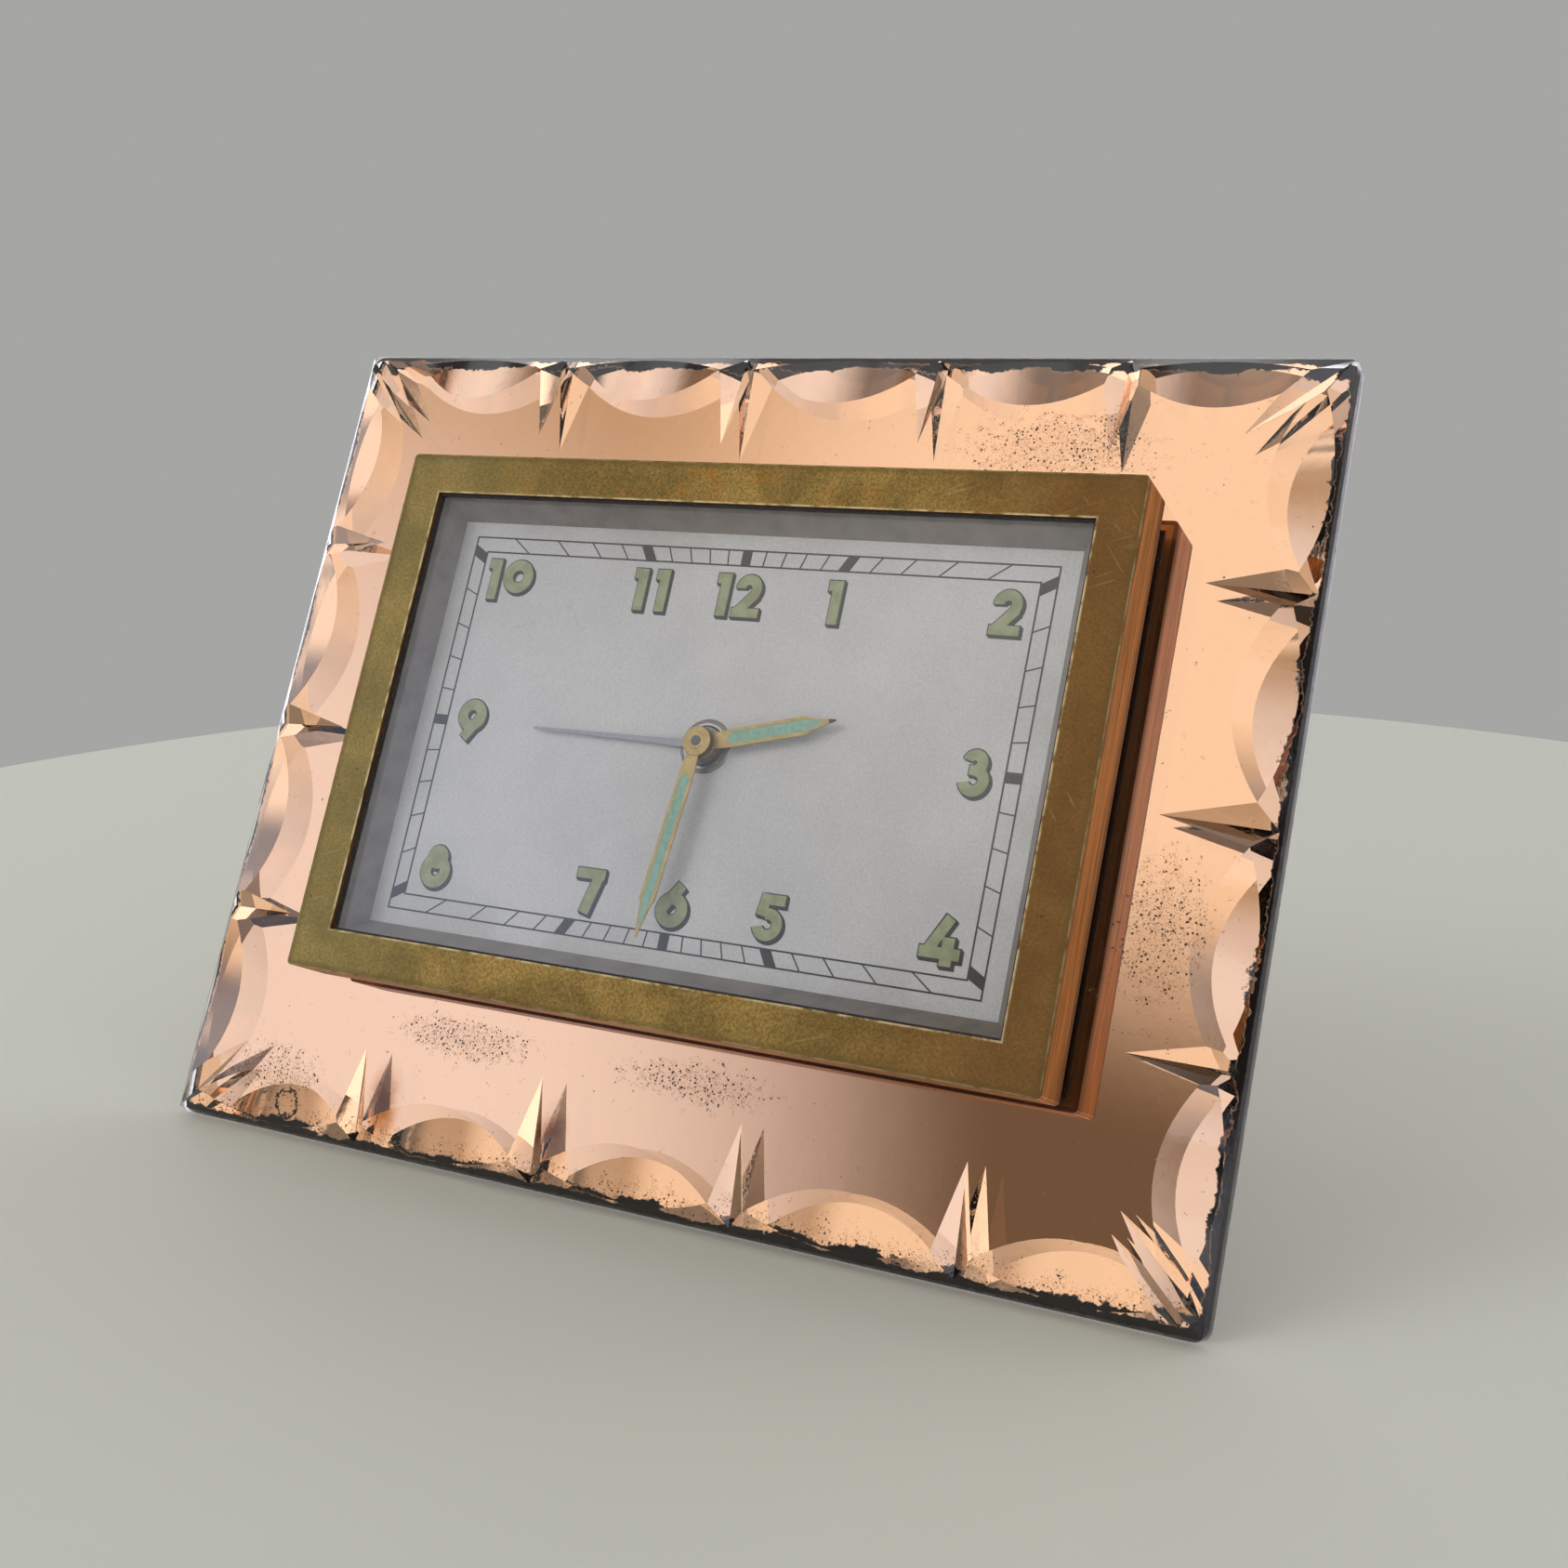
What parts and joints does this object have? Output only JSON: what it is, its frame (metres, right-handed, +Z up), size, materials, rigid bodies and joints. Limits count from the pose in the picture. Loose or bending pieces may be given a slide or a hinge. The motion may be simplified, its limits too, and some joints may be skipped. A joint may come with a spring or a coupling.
{
  "type": "alarm clock",
  "caption": "Table alarm clock on a cut mirror plate: brass-framed dial box in front, round movement case behind, leaning back on a hinged strut.",
  "frame": {"origin": "middle of the bounding box's floor face, under the leaning clock", "axes": "+X to the dial's right, +Y away from the viewer, +Z up; the plate leans back 26 degrees about X"},
  "size_m": [0.203, 0.0868, 0.1441],
  "materials": {
    "peach_glass": "tinted glass with ground edges",
    "silvering": "old copper-backed silvering with dark spots",
    "bezel_brass": "tarnished",
    "clear_glass": "clear",
    "black_seal": "matte",
    "silver_paint": "matte silver-grey",
    "dial_face": "satin silver-grey",
    "dial_ink": "printed",
    "luminous_numeral": "aged luminous paint",
    "luminous_fill": "luminous paint",
    "steel": "polished",
    "blued_steel": "blued",
    "frame_metal": "dull",
    "case_brass": "dull",
    "movement_brass": "bright",
    "felt": "felt",
    "rubber": "matte",
    "hand_brass": "polished"
  },
  "bodies": {
    "case": {"mirror_plate": "peach_glass", "silvering": "silvering", "bezel": "bezel_brass", "crystal_seal": "black_seal", "crystal": "clear_glass", "reflector": "silver_paint", "dial": "dial_face", "dial_print": "dial_ink", "numerals": "luminous_numeral", "dial_ferrule": "steel", "dial_frame": "frame_metal", "case_drum": "case_brass", "felt_rings": "felt", "clamp_ring": "frame_metal", "back_cover": "case_brass", "cover_screws": "steel", "standoff_nuts": "movement_brass", "front_plate": "movement_brass", "rear_plate": "movement_brass", "pillars": "movement_brass", "balance_bearings": "steel", "time_mainspring": "blued_steel", "alarm_mainspring": "blued_steel", "hairspring": "blued_steel", "strut_bracket": "case_brass", "hinge_pin": "steel"},
    "prop": {"strut": "case_brass", "strut_foot": "rubber"},
    "minute_hand_train": {"centre_arbor": "steel", "cannon_pinion": "movement_brass", "minute_hand": "hand_brass", "minute_lume": "luminous_fill", "set_knob": "hand_brass"},
    "centre_drive": {"centre_wheel": "movement_brass"},
    "motion_wheel": {"minute_wheel": "movement_brass"},
    "hour_hand_wheel": {"hour_wheel": "movement_brass", "hour_hand": "hand_brass", "hour_lume": "luminous_fill"},
    "alarm_dial_wheel": {"alarm_wheel": "movement_brass", "alarm_hand": "steel"},
    "alarm_setting": {"alarm_set_arbor": "movement_brass", "alarm_set_knob": "hand_brass"},
    "time_drive": {"time_great_wheel": "movement_brass"},
    "time_pawl": {"time_click": "steel"},
    "time_winding": {"time_winding_arbor": "steel", "time_key": "hand_brass"},
    "alarm_drive": {"alarm_great_wheel": "movement_brass"},
    "alarm_pawl": {"alarm_click": "steel"},
    "alarm_winding": {"alarm_winding_arbor": "steel", "alarm_key": "hand_brass"},
    "third": {"third_wheel": "movement_brass"},
    "fourth": {"fourth_wheel": "movement_brass"},
    "escape": {"escape_wheel": "movement_brass"},
    "lever": {"pallet_lever": "steel"},
    "balance": {"balance_wheel": "movement_brass"},
    "alarm_escape": {"alarm_escape_wheel": "movement_brass"},
    "hammer": {"alarm_hammer": "steel"},
    "stop": {"stop_plunger": "hand_brass"},
    "regulator_arm": {"regulator": "steel"}
  },
  "joints": [
    {"name": "strut_hinge", "type": "hinge", "parent": "case", "child": "prop", "pos_m": [0, 0.0065, 0.03194], "axis": [-1, 0, 0], "range_deg": [0, 64]},
    {"name": "minute_turn", "type": "hinge", "parent": "case", "child": "minute_hand_train", "pos_m": [0.0011, 0.00084, 0.07052], "axis": [0, 0.8988, -0.4384], "continuous": true},
    {"name": "centre_drive_turn", "type": "hinge", "parent": "case", "child": "centre_drive", "pos_m": [0.0011, 0.00084, 0.07052], "axis": [0, 0.8988, -0.4384], "continuous": true},
    {"name": "minute_wheel_turn", "type": "hinge", "parent": "case", "child": "motion_wheel", "pos_m": [0.0011, 0.0061, 0.08131], "axis": [0, 0.8988, -0.4384], "continuous": true},
    {"name": "hour_turn", "type": "hinge", "parent": "case", "child": "hour_hand_wheel", "pos_m": [0.0011, 0.00084, 0.07052], "axis": [0, 0.8988, -0.4384], "continuous": true},
    {"name": "alarm_set_turn", "type": "hinge", "parent": "case", "child": "alarm_setting", "pos_m": [0.0011, -0.00793, 0.05254], "axis": [0, 0.8988, -0.4384], "continuous": true},
    {"name": "alarm_hand_turn", "type": "hinge", "parent": "case", "child": "alarm_dial_wheel", "pos_m": [0.0011, 0.00084, 0.07052], "axis": [0, 0.8988, -0.4384], "continuous": true},
    {"name": "time_drive_turn", "type": "hinge", "parent": "case", "child": "time_drive", "pos_m": [-0.01382, -0.00357, 0.06147], "axis": [0, 0.8988, -0.4384], "continuous": true},
    {"name": "time_click_lift", "type": "hinge", "parent": "time_drive", "child": "time_pawl", "pos_m": [-0.02023, -0.00195, 0.0648], "axis": [0, 0.8988, -0.4384], "range_deg": [0, 18], "stiffness_Nm_per_rad": 0.0001, "springref_deg": -17.19},
    {"name": "time_wind", "type": "hinge", "parent": "case", "child": "time_winding", "pos_m": [-0.01382, -0.00357, 0.06147], "axis": [0, 0.8988, -0.4384], "continuous": true},
    {"name": "third_turn", "type": "hinge", "parent": "case", "child": "third", "pos_m": [-0.00355, 0.00644, 0.08201], "axis": [0, 0.8988, -0.4384], "continuous": true},
    {"name": "fourth_turn", "type": "hinge", "parent": "case", "child": "fourth", "pos_m": [0.00886, 0.0074, 0.08397], "axis": [0, 0.8988, -0.4384], "continuous": true},
    {"name": "escape_turn", "type": "hinge", "parent": "case", "child": "escape", "pos_m": [0.01105, 0.01284, 0.09513], "axis": [0, 0.8988, -0.4384], "continuous": true},
    {"name": "lever_rock", "type": "hinge", "parent": "case", "child": "lever", "pos_m": [0.00311, 0.0124, 0.09423], "axis": [0, 0.8988, -0.4384], "range_deg": [-9, 9]},
    {"name": "balance_swing", "type": "hinge", "parent": "case", "child": "balance", "pos_m": [-0.0079, 0.0118, 0.09299], "axis": [0, 0.8988, -0.4384], "range_deg": [-220, 220], "stiffness_Nm_per_rad": 0.00003},
    {"name": "regulator_shift", "type": "hinge", "parent": "case", "child": "regulator_arm", "pos_m": [-0.0079, 0.0118, 0.09299], "axis": [0, 0.8988, -0.4384], "range_deg": [-30, 30]},
    {"name": "alarm_drive_turn", "type": "hinge", "parent": "case", "child": "alarm_drive", "pos_m": [0.01602, -0.00357, 0.06147], "axis": [0, 0.8988, -0.4384], "continuous": true},
    {"name": "alarm_click_lift", "type": "hinge", "parent": "alarm_drive", "child": "alarm_pawl", "pos_m": [0.01972, -0.00638, 0.05571], "axis": [0, 0.8988, -0.4384], "range_deg": [0, 18], "stiffness_Nm_per_rad": 0.0001, "springref_deg": -17.19},
    {"name": "alarm_wind", "type": "hinge", "parent": "case", "child": "alarm_winding", "pos_m": [0.01602, -0.00357, 0.06147], "axis": [0, 0.8988, -0.4384], "continuous": true},
    {"name": "alarm_escape_turn", "type": "hinge", "parent": "case", "child": "alarm_escape", "pos_m": [0.02477, 0.00307, 0.0751], "axis": [0, 0.8988, -0.4384], "continuous": true},
    {"name": "hammer_swing", "type": "hinge", "parent": "case", "child": "hammer", "pos_m": [0.03381, 0.00436, 0.07773], "axis": [0, -0.8988, 0.4384], "range_deg": [0, 22]},
    {"name": "alarm_stop_pull", "type": "slide", "parent": "case", "child": "stop", "axis": [0, 0.8988, -0.4384], "range_m": [0, 0.003]}
  ],
  "couplings": [
    {"joint": "minute_wheel_turn", "follows": "minute_turn", "ratio": -0.33333},
    {"joint": "hour_turn", "follows": "minute_turn", "ratio": 0.083333},
    {"joint": "centre_drive_turn", "follows": "fourth_turn", "ratio": 0.016667},
    {"joint": "third_turn", "follows": "fourth_turn", "ratio": -0.125},
    {"joint": "time_drive_turn", "follows": "fourth_turn", "ratio": -0.0033333},
    {"joint": "escape_turn", "follows": "fourth_turn", "ratio": -8},
    {"joint": "alarm_set_turn", "follows": "alarm_hand_turn", "ratio": -3},
    {"joint": "alarm_escape_turn", "follows": "alarm_drive_turn", "ratio": -6}
  ]
}
